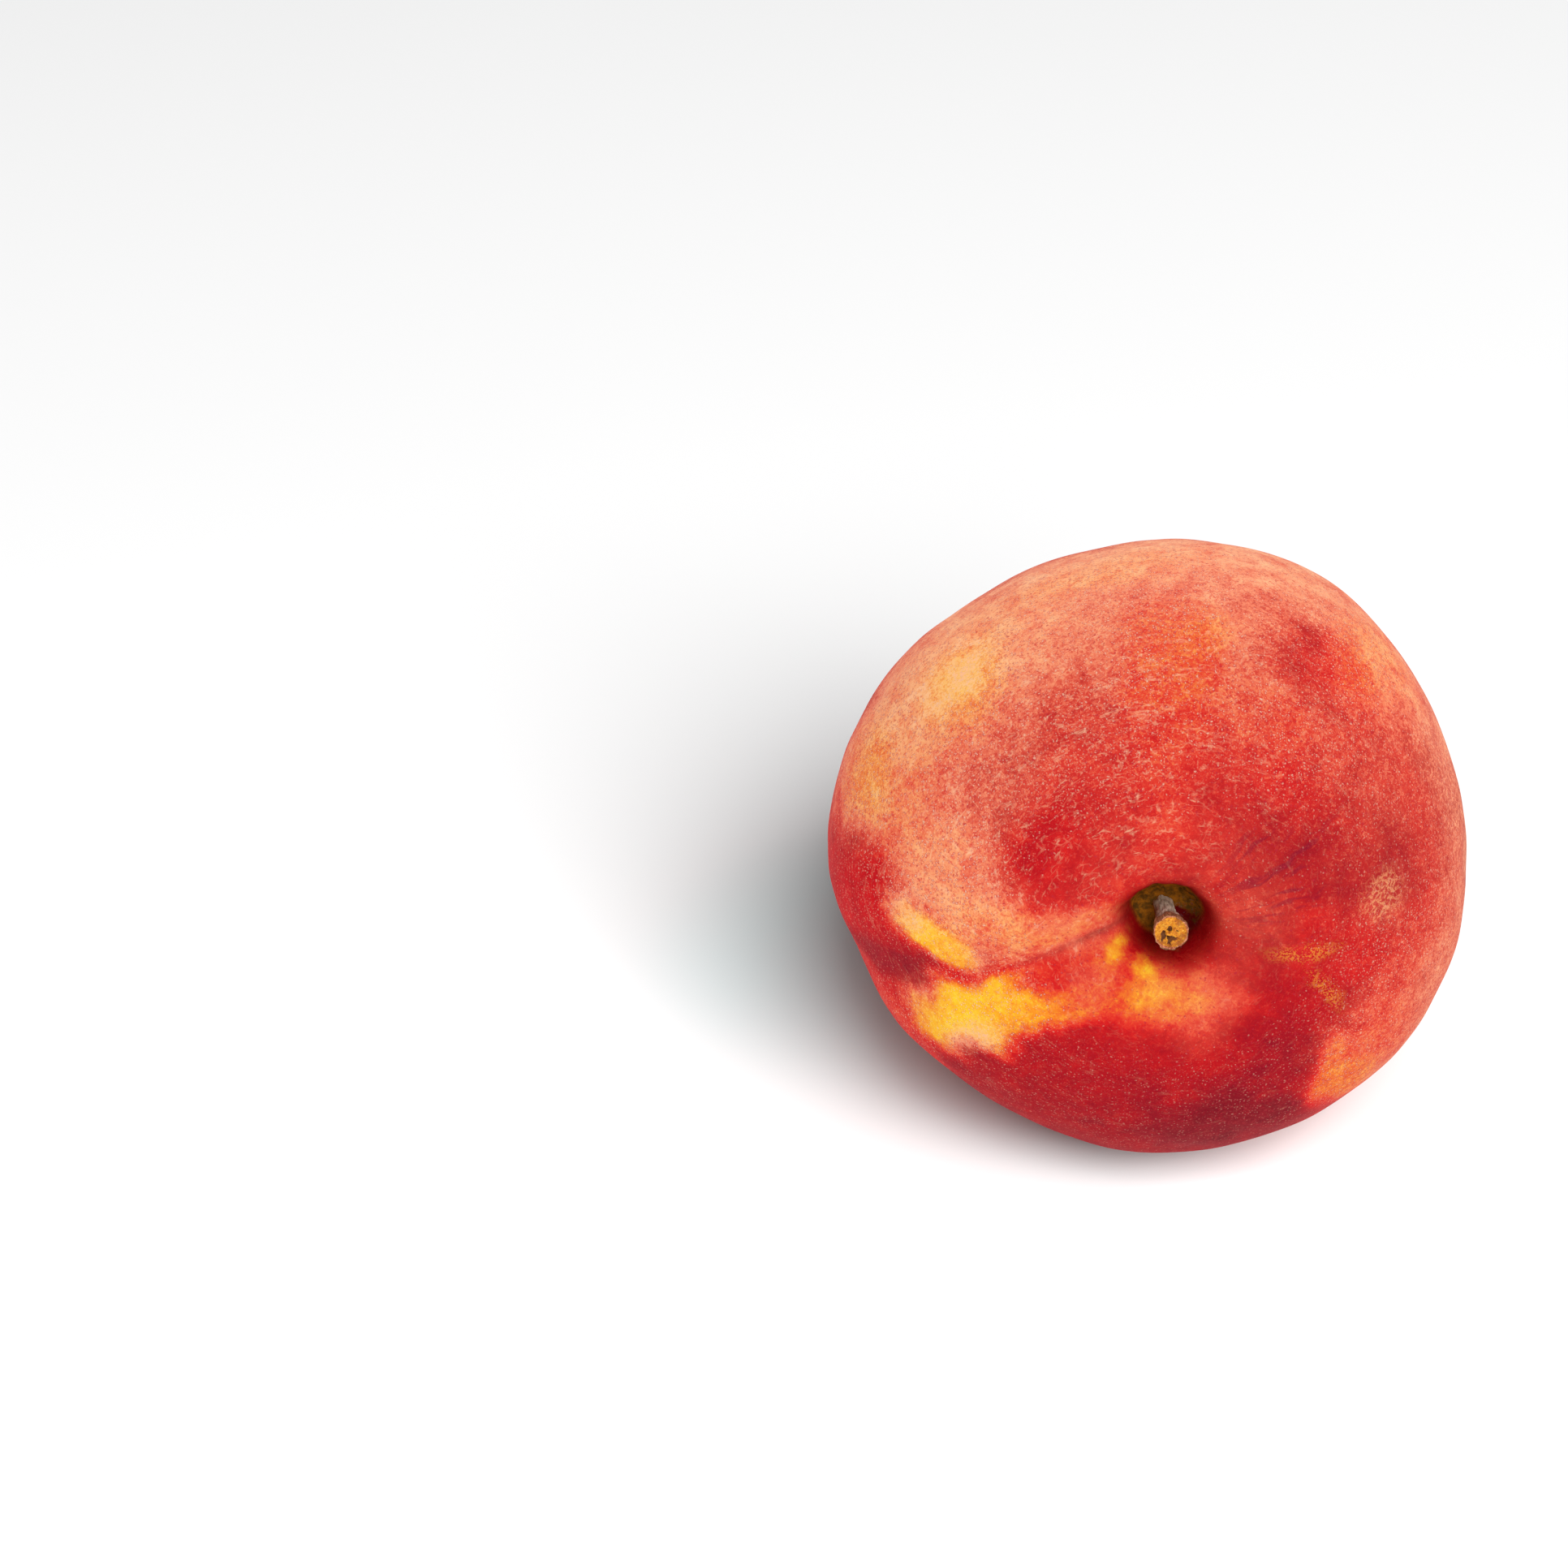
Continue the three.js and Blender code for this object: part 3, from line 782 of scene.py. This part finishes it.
def dotted(color):
    """Pale dots of uneven size, each in a darker ring, finer dots, and a few dark points."""
    wobbly = skin.wobble(where, 1.4, 0.5)
    distance, size, tone = skin.cells(wobbly, 3.2)
    dot_share = skin.attribute("dots")
    dot_strength = skin.smooth(ripe, 1.1, 0.65, 0.20, 0.52)
    present = skin.smooth(skin.math("SUBTRACT", skin.times(dot_share, 0.7), size), -0.1, 0.15)
    ring = skin.times(skin.smooth(distance, 0.52, 0.36), present)
    not_in_red = skin.smooth(ripe, 0.85, 0.45, 0.16, 0.50)
    not_in_yellow = skin.smooth(ripe, 0.12, 0.35, 0.3, 1.0)
    ring_strength = skin.times(not_in_red, not_in_yellow)
    color = skin.mix(skin.times(ring, ring_strength), color, DOT_RING)
    core = skin.smooth(skin.add(distance, skin.times(tone, 0.10)), 0.38, 0.22)
    core = skin.times(core, present)
    color = skin.mix(skin.times(core, dot_strength), color, DOT)

    distance, size, _tone = skin.cells(wobbly, 4.6)
    gate = skin.times(skin.smooth(size, 0.55, 0.62), skin.smooth(dot_share, 0.1, 0.6))
    fine_core = skin.times(skin.smooth(distance, 0.38, 0.22), gate)
    fine_core = skin.times(fine_core, skin.smooth(ripe, 1.1, 0.85, 0.4, 1.0))
    color = skin.mix(skin.times(fine_core, dot_strength, 0.7), color, FINE_DOT)

    distance, size, _tone = skin.cells(wobbly, 2.0)
    gate = skin.times(skin.smooth(size, 0.35, 0.5), skin.smooth(ripe, 0.25, 0.45))
    dark_core = skin.smooth(distance, 0.28, 0.14)
    return skin.mix(skin.times(dark_core, gate, 0.6), color, DARK_POINT), core


def hollowed(color):
    """The dark red lip of the cavity and its olive wall, both darkened with painted shade."""
    painted_shade_share = skin.attribute("painted_shade_side")
    wall_spots = skin.noise(where, 1.5, 3, 0.6)
    wall_and_shade = skin.mix(skin.smooth(wall_spots, -0.16, 0.16), WALL_BROWN, WALL_OLIVE)
    wall_and_shade = skin.mix(skin.smooth(grains, -0.1, 0.3, 0.0, 0.6), wall_and_shade, WALL_DARK)
    # painted shade: dark red on the lower right side of the throat
    shade_red_share = skin.smooth(skin.add(painted_shade_share, skin.times(wall_spots, 0.5)), 0.84, 1.0)
    wall_and_shade = skin.mix(shade_red_share, wall_and_shade, WALL_SHADE_RED)
    wall_fibres = skin.noise(skin.stretch(where, 3.0, 3.0, 0.8), 1.0, 3, 0.7)
    wall_fibres = skin.smooth(wall_fibres, 0.06, 0.24, 0.0, 0.5)
    wall_fibres = skin.times(wall_fibres, skin.smooth(painted_shade_share, 0.5, 0.8))
    wall_and_shade = skin.mix(wall_fibres, wall_and_shade, WALL_FIBRE)
    # deep red skin and painted shade round the rim of the cavity
    lip_and_shade_share = skin.times(skin.attribute("lip_and_shade"), skin.add(1.0, skin.times(grains, 1.5)))
    color = skin.mix(skin.math("MULTIPLY", lip_and_shade_share, 0.9, clamp=True), color, LIP_AND_SHADE)
    return skin.mix(skin.attribute("in_cavity"), color, wall_and_shade)


color = mottled()
color, streak_lines = streaked(color)
color = creased(color)
color = flecked(color)
color, dot_cores = dotted(color)
color = hollowed(color)

rough = skin.add(
    0.55,
    skin.times(blotches, 0.12),
    skin.times(dot_cores, 0.12),
    skin.times(skin.attribute("in_cavity"), 0.2),
)
relief = skin.add(
    skin.times(dot_cores, 0.5),
    skin.times(dust, 0.5),
    skin.times(streak_lines, 0.4),
    skin.times(grains, 0.8),
)
skin.finish(color, rough, relief, SKIN_RELIEF)
skin.surface.inputs["IOR"].default_value = 1.45
skin.surface.inputs["Specular IOR Level"].default_value = 0.02
fruit.data.materials.append(skin.material)

# ---------------------------------------------------------------- stem stub

STEM_SIDES = 96
STEM_SUNK = 1.2  # how far the stub reaches into the floor of the cavity
CUT_ZONE = 1.6  # length at the cut end that has closer rings
FOOT_SHARE = 0.76  # of the CAD's radius, at the foot of the shank
SHANK_GROWTH = 0.16  # what that share gains towards the cut
FLARE_SHARE = 0.97  # of the cut's radius in the CAD, at the end of the flare
CUT_SHARE = 0.93  # of it, at the edge of the cut face
CUT_LIMIT = 0.985  # of it, as far out as the bark may reach
CUT_DIP = 0.25  # how far the cut face sinks towards its middle
CUT_RIM_SHARE = 0.91  # of the cut's radius, where the wood ends and the rim starts
PITH_LOW = 0.35  # how far below the middle of the cut face the torn pith lies
PITH_RADIUS = 0.9
PITH_DEPTH = 0.4
RIB_STRETCH = np.array([1, 1, 0.22])  # the ribs run along the stub
RIM_LENGTH = 0.35  # how far down from the cut the bark is ragged
BARK_LIP_DEGREES = 262  # the bark hangs in a ragged lip from the lower side of the rim
stem_foot = floor_height - STEM_SUNK
stem_top = floor_height + STEM_LENGTH


def middle(height, foot, lean):
    """The point at this height on a middle line that leans from its foot."""
    return np.array([lean[0] * (height - foot), lean[1] * (height - foot), height])


def turns(sides):
    """This many directions, spread evenly round the stem axis."""
    return np.arange(sides) * (2 * math.pi / sides)


def circle(centre, distances, sides):
    """Points round this centre, at these distances from it."""
    return np.stack(
        [
            centre[0] + distances * np.cos(turns(sides)),
            centre[1] + distances * np.sin(turns(sides)),
            np.full(sides, centre[2]),
        ],
        axis=-1,
    )


def stub_radius(height):
    """Radius of the stub: a slender shank that flares towards the cut."""
    up = (height - floor_height) / STEM_LENGTH
    flare = smooth(up, 0.45, 0.95)
    shank = FOOT_SHARE + SHANK_GROWTH * np.clip(up, 0, 1)
    return STEM_RADIUS * shank * (1 - flare) + STEM_CUT_RADIUS * FLARE_SHARE * flare


def cut_ring(share):
    """Ring of the cut face at this share of its radius, and how torn the pith is there."""
    points = circle(stub_top, share * STEM_CUT_RADIUS * CUT_SHARE, STEM_SIDES)
    pith = np.exp(-(points[:, 0] ** 2 + (points[:, 1] + PITH_LOW) ** 2) / PITH_RADIUS**2)
    ruffle = 0.07 * waves(points, 0.9, 41) + 0.05 * waves(points, 0.4, 42)
    torn = smooth(waves(points, 0.55, 43) + 1.9 * pith, 0.7, 1.4)
    points[:, 2] += ruffle - PITH_DEPTH * torn * pith - CUT_DIP * (1 - share**6)
    return points, torn * smooth(pith, 0.05, 0.5)


def bark_ring(height):
    """Ring of the ribbed bark at this height, ragged near the cut."""
    centre = middle(height, floor_height, STEM_LEAN)
    plain_ring = circle(centre, stub_radius(height), STEM_SIDES)
    ribs = 0.055 * waves(plain_ring * RIB_STRETCH, 0.75, 44) + 0.04 * waves(plain_ring, 1.6, 45)
    rim = math.exp(-(((height - stem_top) / RIM_LENGTH) ** 2))
    lip_angle = wrapped(turns(STEM_SIDES) - math.radians(BARK_LIP_DEGREES))
    lip_out = 0.14 * rim * np.exp(-((lip_angle / 0.45) ** 2))
    grown = stub_radius(height) * 0.94 + ribs + lip_out
    grown = np.minimum(grown, STEM_CUT_RADIUS * CUT_LIMIT)
    points = circle(centre, grown, STEM_SIDES)
    points[:, 2] += 0.10 * rim * waves(points, 0.8, 46)
    return points


stub_top = middle(stem_top, floor_height, STEM_LEAN)
stub_foot = middle(stem_foot, floor_height, STEM_LEAN)
cut_shares = np.linspace(0.06, 0.97, 22)
shank_heights = np.linspace(stem_foot, stem_top - CUT_ZONE, 40)
flare_heights = np.linspace(stem_top - CUT_ZONE + 0.05, stem_top, 24)
bark_heights = np.concatenate([shank_heights, flare_heights])[::-1]
cut_rings, torn_rings = zip(*[cut_ring(share) for share in cut_shares])
bark_rings = [bark_ring(height) for height in bark_heights]
stem_points = np.vstack([stub_top, *cut_rings, *bark_rings, stub_foot])
stem_faces = ring_faces(len(cut_shares) + len(bark_heights), STEM_SIDES)
stem = add_mesh("stem_stub_fine", place(stem_points), stem_faces)
# the cut face is 1 on the wood, a half on its rim and 0 on the bark
on_bark = np.zeros(len(bark_heights) * STEM_SIDES + 1)
on_cut = np.repeat(np.where(cut_shares < CUT_RIM_SHARE, 1.0, 0.5), STEM_SIDES)
store(stem, "stem_mm", stem_points)
store(stem, "cut_face", np.concatenate([[1.0], on_cut, on_bark]))
store(stem, "torn", np.concatenate([[0.0], *torn_rings, on_bark]))

BARK_RAMP = [
    (0.1, (66, 36, 18)),
    (0.4, (124, 76, 44)),
    (0.62, (168, 116, 78)),
    (0.9, (214, 170, 128)),
]
# pale fibres, lightened into a painted highlight on the upper side of the shank
PALE_FIBRE_AND_HIGHLIGHT_RAMP = [(0.1, (112, 88, 66)), (0.45, (206, 186, 162)), (0.7, (246, 232, 212))]
WOOD_RAMP = [
    (0.1, (136, 60, 10)),
    (0.4, (218, 130, 14)),
    (0.65, (238, 162, 30)),
    (0.9, (252, 210, 96)),
]
WOOD_DEEP_BROWN = (158, 74, 16)
PITH_HOLE_AND_SHADE = (84, 34, 8)
RIM_DARK = (150, 66, 30)
RIM_PALE = (232, 150, 110)

bark = Shader("stem_bark")
at = bark.attribute("stem_mm", vector=True)
fibre = bark.noise(bark.stretch(at, 3.0, 3.0, 0.35), 1.6, 4, 0.65)
speck = bark.noise(at, 3.5, 4, 0.7)


def bark_color():
    """Brown bark, with pale dry fibres and a painted highlight along its upper side, more of
    them to the foot.
    """
    brown = bark.ramp(bark.add(0.5, bark.times(fibre, 1.4), bark.times(speck, 0.5)), BARK_RAMP)
    pale_fibre_and_highlight = bark.ramp(bark.add(0.5, bark.times(fibre, 1.6)), PALE_FIBRE_AND_HIGHLIGHT_RAMP)
    # painted highlight: the upper side, towards the foot, is paler
    lit_upper_side = bark.smooth(bark.along(at, (0.2, 1.0, 0.0)), -0.2, 0.7)
    height = bark.along(at, (0.0, 0.0, 1.0))
    towards_foot = bark.smooth(height, floor_height + 7.0, floor_height + 4.5)
    return bark.mix(bark.times(lit_upper_side, towards_foot, 0.9), brown, pale_fibre_and_highlight)


def wood_color():
    """Golden wood, browner in patches and towards its lower side, with dark holes of brown pith
    and painted shade, and golden threads in the torn pith.
    """
    golden = bark.ramp(bark.add(0.52, bark.times(speck, 1.9)), WOOD_RAMP)
    # darker towards the lower side
    lower = bark.times(bark.along(at, (0.5, -1.0, 0.0)), 0.07)
    browner = bark.smooth(bark.add(bark.noise(at, 1.3, 3, 0.6), lower), 0.0, 0.2)
    golden = bark.mix(bark.times(browner, 0.75), golden, WOOD_DEEP_BROWN)
    # brown pith and painted shade in the sunken, torn holes
    holes_and_shade = bark.add(bark.attribute("torn"), bark.times(speck, 2.2))
    return bark.mix(bark.times(bark.smooth(holes_and_shade, 0.4, 0.7), 0.9), golden, PITH_HOLE_AND_SHADE)


cut = bark.attribute("cut_face")
stem_color = bark.mix(bark.smooth(cut, 0.55, 0.9), bark_color(), wood_color())
rim_share = bark.times(bark.smooth(cut, 0.12, 0.4), bark.smooth(cut, 0.9, 0.6))
rim_color = bark.mix(bark.smooth(speck, -0.15, 0.15), RIM_DARK, RIM_PALE)
stem_color = bark.mix(rim_share, stem_color, rim_color)
bark.finish(stem_color, bark.add(0.72, bark.times(speck, 0.3)), bark.add(fibre, speck), 0.12)
stem.data.materials.append(bark.material)

# ---------------------------------------------------------------- dried style tip

STYLE_SIDES = 40
STYLE_SUNK = 0.7
STYLE_WRINKLES = np.array([1, 1, 0.4])  # the wrinkles run along the tip
STYLE_RAMP = [(0.1, (40, 20, 10)), (0.5, (96, 52, 26)), (0.9, (168, 110, 66))]
tip_height = -TIP_HALF_HEIGHT - BEAK_HEIGHT


def style_ring(height):
    """Ring of the wrinkled style tip at this height."""
    share = max(tip_height - height, 0) / STYLE_LENGTH
    thin_radius = STYLE_RADIUS * 0.9 * (1 - share) + STYLE_END_RADIUS * share
    centre = middle(height, tip_height, STYLE_LEAN)
    points = circle(centre, thin_radius, STYLE_SIDES)
    wrinkled = 1 + 0.10 * waves(points * STYLE_WRINKLES, 0.5, 51)
    return centre + (points - centre) * wrinkled[:, None] * 0.93


style_heights = np.linspace(tip_height + STYLE_SUNK, tip_height - STYLE_LENGTH + 0.05, 30)
style_start = np.array([0.0, 0.0, style_heights[0]])
style_end = middle(style_heights[-1], tip_height, STYLE_LEAN) - np.array([0, 0, 0.02])
style_rings = [style_ring(height) for height in style_heights]
style_points = np.vstack([style_start, *style_rings, style_end])
style_faces = ring_faces(len(style_heights), STYLE_SIDES)
style = add_mesh("style_tip_fine", place(style_points), style_faces)
store(style, "style_mm", style_points)
dry = Shader("dry_style")
at = dry.attribute("style_mm", vector=True)
dry_noise = dry.noise(dry.stretch(at, 2.0, 2.0, 0.5), 2.2, 4, 0.65)
dry_color = dry.ramp(dry.add(0.5, dry.times(dry_noise, 1.5)), STYLE_RAMP)
dry.finish(dry_color, dry.add(0.8, dry.times(dry_noise, 0.2)), dry_noise, 0.08)
style.data.materials.append(dry.material)

for piece, node, slot in (
    (fruit, "fruit", "skin"),
    (stem, "stem_stub", "stem_wood"),
    (style, "style_tip", "dry_style"),
):
    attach(piece, "root")
    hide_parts(node)

# ---------------------------------------------------------------- floor, light and camera

FLOOR_SIZE = 8.0
PAPER = (206, 206, 206)
PAPER_SHADED = (199, 209, 209)
PAPER_SPOT = (-0.012, 0.012, 0)  # middle of the part of the paper that the shadow reaches
ROOM_LIGHT = 0.26
BACKDROP_LIGHT = 1.05
# Direction (0 is +X, 90 is +Y) and height in degrees, distance and size in metres. A level
# follows in the list of fills.
KEY = (-72, 39, 2.6, 1.6)
KEY_LEVEL = 0.75
PAPER_EXTRA = 2.05  # level of the light that reaches only the paper
FRUIT_FILLS = [  # lights that leave the paper, and so the shadow on it, alone
    ("back", 85, 40, 1.6, 1.4, 0.70),
    ("left", 180, 20, 1.6, 1.2, 0.45),
    ("right", 20, 30, 1.6, 1.2, 0.3),
]
half = FLOOR_SIZE / 2
floor_mesh = bpy.data.meshes.new("floor")
floor_mesh.from_pydata(
    [(-half, -half, 0), (half, -half, 0), (half, half, 0), (-half, half, 0)],
    [],
    [(0, 1, 2, 3)],
)
floor = bpy.data.objects.new("floor", floor_mesh)
bpy.context.scene.collection.objects.link(floor)
# Grey paper under a strong light shows white. It is a little less red where the shadow
# falls, because the red fruit would tint its own shadow too much.
paper = Shader("paper")
spot = paper.tree.nodes.new("ShaderNodeTexCoord").outputs["Object"]
# how far a place lies in front of the fruit on the left, and to the right, in mm
left_front = paper.along(spot, (-600, -800, 0))
rightwards = paper.along(spot, (1000, 0, 0))
shaded = paper.times(
    paper.smooth(paper.distance(spot, PAPER_SPOT), 0.050, 0.031),
    paper.smooth(left_front, 36, 8),
    paper.smooth(rightwards, 20, -10),
)
paper.feed(paper.surface.inputs["Base Color"], paper.mix(shaded, PAPER, PAPER_SHADED))
paper.surface.inputs["Roughness"].default_value = 0.9
paper.surface.inputs["Specular IOR Level"].default_value = 0.1
floor_mesh.materials.append(paper.material)

scene = bpy.context.scene
scene.view_settings.view_transform = "Standard"
scene.view_settings.look = "None"


def studio_world():
    """Even white light from all round, behind a backdrop that shows plain white."""
    world = bpy.data.worlds.new("studio")
    world.use_nodes = True
    nodes = world.node_tree.nodes
    room = nodes["Background"]
    backdrop = nodes.new("ShaderNodeBackground")
    for node, strength in ((room, ROOM_LIGHT), (backdrop, BACKDROP_LIGHT)):
        node.inputs["Color"].default_value = (1, 1, 1, 1)
        node.inputs["Strength"].default_value = strength
    ray = nodes.new("ShaderNodeLightPath")
    choose = nodes.new("ShaderNodeMixShader")
    link = world.node_tree.links.new
    link(ray.outputs["Is Camera Ray"], choose.inputs["Fac"])
    link(room.outputs["Background"], choose.inputs[1])
    link(backdrop.outputs["Background"], choose.inputs[2])
    link(choose.outputs["Shader"], nodes["World Output"].inputs["Surface"])
    return world


scene.world = studio_world()

fruit_centre = Vector((place(np.zeros(3)) * METRES).tolist())
only_paper = bpy.data.collections.new("only_paper")
only_paper.objects.link(floor)
all_but_paper = bpy.data.collections.new("all_but_paper")
all_but_paper.objects.link(floor)
all_but_paper.collection_objects[0].light_linking.link_state = "EXCLUDE"


def add_light(name, azimuth, elevation, distance, size, level, lights=None):
    """A square soft box that lights everything, or one collection of objects.

    Level is the brightness it gives a white card that faces it.
    """
    a = math.radians(azimuth)
    e = math.radians(elevation)
    offset = Vector((math.cos(e) * math.cos(a), math.cos(e) * math.sin(a), math.sin(e)))
    data = bpy.data.lights.new(name, "AREA")
    data.size = size
    data.energy = level * (math.pi * distance) ** 2
    light = bpy.data.objects.new(name, data)
    light.location = fruit_centre + offset * distance
    light.rotation_mode = "QUATERNION"
    light.rotation_quaternion = offset.to_track_quat("Z", "Y")
    scene.collection.objects.link(light)
    light.light_linking.receiver_collection = lights


add_light("key", *KEY, KEY_LEVEL)
add_light("paper_key", *KEY, PAPER_EXTRA, only_paper)
for soft_box in FRUIT_FILLS:
    add_light(*soft_box, all_but_paper)
# the left one gives light without a reflection
bpy.data.objects["left"].visible_glossy = False

# The camera: a 100 mm lens on a 36 mm wide square frame, looking 30 degrees down. The
# fruit's middle shows right of the frame's middle and a little below it.
LENS = 100.0
SENSOR = 36.0
LOOK_DOWN_DEGREES = 30.0
DISTANCE = 0.4625
RIGHT_OF_MIDDLE = 0.0390
BELOW_MIDDLE = 0.0059
look = math.radians(LOOK_DOWN_DEGREES)
forward = Vector((0, math.cos(look), -math.sin(look)))
upward = Vector((0, math.sin(look), math.cos(look)))
camera_data = bpy.data.cameras.new("camera")
camera_data.lens = LENS
camera_data.sensor_width = SENSOR
camera = bpy.data.objects.new("camera", camera_data)
camera.location = (
    fruit_centre
    - forward * DISTANCE
    - Vector((1, 0, 0)) * RIGHT_OF_MIDDLE
    + upward * BELOW_MIDDLE
)
camera.rotation_mode = "QUATERNION"
camera.rotation_quaternion = forward.to_track_quat("-Z", "Y")
scene.collection.objects.link(camera)
scene.camera = camera
